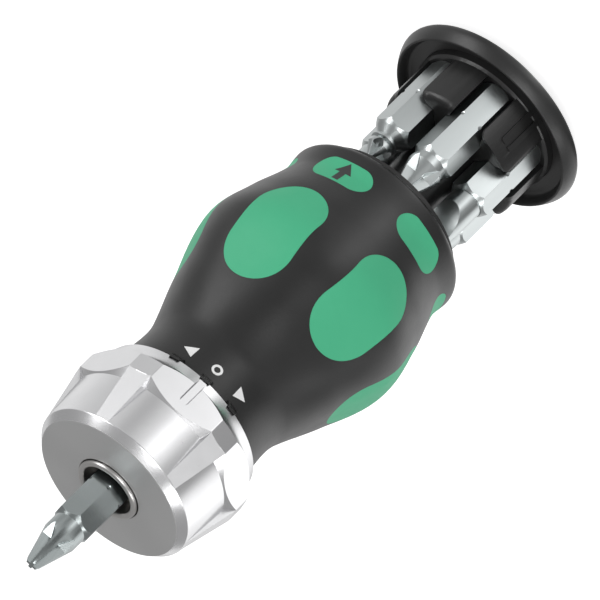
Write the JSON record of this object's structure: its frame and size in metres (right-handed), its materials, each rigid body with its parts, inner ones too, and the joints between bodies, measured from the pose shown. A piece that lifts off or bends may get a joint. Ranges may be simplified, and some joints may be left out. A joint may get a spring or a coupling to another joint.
{
  "type": "ratcheting screwdriver",
  "caption": "Stubby ratcheting screwdriver with a fluted selector ring, a hex bit chuck and a bit magazine that slides out of the handle.",
  "frame": {"origin": "middle of the end cap's flat rear face, on which the tool stands", "axes": "+Z along the tool's axis towards the bit's tip, -Y through the index groove of the selector ring at its locked place"},
  "size_m": [0.04, 0.04, 0.117],
  "materials": {
    "black_core": "fine satin",
    "black_skin": "soft satin two-component skin",
    "green_pads": "soft satin",
    "satin_chrome": "satin chrome on a cast ring",
    "black_cap": "satin",
    "black_clip": "satin",
    "bit_steel": "grey satin tool steel",
    "spindle_steel": "turned steel",
    "dark_steel": "oiled hardened steel",
    "spring_steel": "spring steel",
    "zinc_plate": "zinc plated",
    "bright_pin": "ground steel",
    "magnet_nickel": "nickel plated",
    "brass_piston": "turned",
    "ring_rubber": "matt"
  },
  "bodies": {
    "handle": {"handle_core": "black_core", "soft_grip": "black_skin", "belly_pad_1": "green_pads", "belly_pad_2": "green_pads", "belly_pad_3": "green_pads", "belly_pad_4": "green_pads", "belly_pad_5": "green_pads", "belly_pad_6": "green_pads", "rear_pad_1": "green_pads", "rear_pad_2": "green_pads", "rear_pad_3": "green_pads", "rear_pad_4": "green_pads", "rear_pad_5": "green_pads", "rear_pad_6": "green_pads", "ring_clip": "spring_steel", "detent_spring": "spring_steel", "ratchet_housing": "dark_steel", "cover_plate": "zinc_plate", "cover_screws": "zinc_plate", "pawl_pin_left": "bright_pin", "pawl_pin_right": "bright_pin", "pawl_spring_left": "spring_steel", "pawl_spring_right": "spring_steel", "guide_rod": "bright_pin", "guide_piston": "brass_piston", "friction_ring": "ring_rubber", "guide_screw": "zinc_plate"},
    "selector": {"selector_ring": "satin_chrome", "cam_plate": "zinc_plate"},
    "spindle": {"spindle": "spindle_steel", "ratchet_gear": "dark_steel", "socket_magnet": "magnet_nickel", "spindle_clip": "spring_steel"},
    "drive_bit": {"drive_bit": "bit_steel"},
    "pawl_left": {"pawl_left": "dark_steel"},
    "pawl_right": {"pawl_right": "dark_steel"},
    "magazine": {"magazine_carrier": "black_clip", "end_cap": "black_cap", "bit_cross_small": "bit_steel", "bit_cross_large": "bit_steel", "bit_slotted": "bit_steel", "bit_star_large": "bit_steel", "bit_star_small": "bit_steel"}
  },
  "joints": [
    {"name": "magazine_slide", "type": "slide", "parent": "handle", "child": "magazine", "axis": [0, 0, 1], "range_m": [0, 0.0252]},
    {"name": "selector_turn", "type": "hinge", "parent": "handle", "child": "selector", "pos_m": [0, 0, 0.0807], "axis": [0, 0, 1], "range_deg": [-24, 24], "deforming": ["detent_spring"]},
    {"name": "spindle_spin", "type": "hinge", "parent": "handle", "child": "spindle", "pos_m": [0, 0, 0.0807], "axis": [0, 0, 1], "continuous": true},
    {"name": "drive_bit_pull", "type": "slide", "parent": "spindle", "child": "drive_bit", "axis": [0, 0, 1], "range_m": [0, 0.012]},
    {"name": "pawl_right_rock", "type": "hinge", "parent": "handle", "child": "pawl_right", "pos_m": [0.00495, 0.00857, 0.088], "axis": [0, 0, 1], "range_deg": [-6, 6], "deforming": ["pawl_spring_right"]},
    {"name": "pawl_left_rock", "type": "hinge", "parent": "handle", "child": "pawl_left", "pos_m": [-0.00495, 0.00857, 0.088], "axis": [0, 0, 1], "range_deg": [-6, 6], "deforming": ["pawl_spring_left"]}
  ],
  "couplings": [
    {"joint": "pawl_right_rock", "follows": "selector_turn", "ratio": 0.25},
    {"joint": "pawl_left_rock", "follows": "selector_turn", "ratio": 0.25}
  ]
}
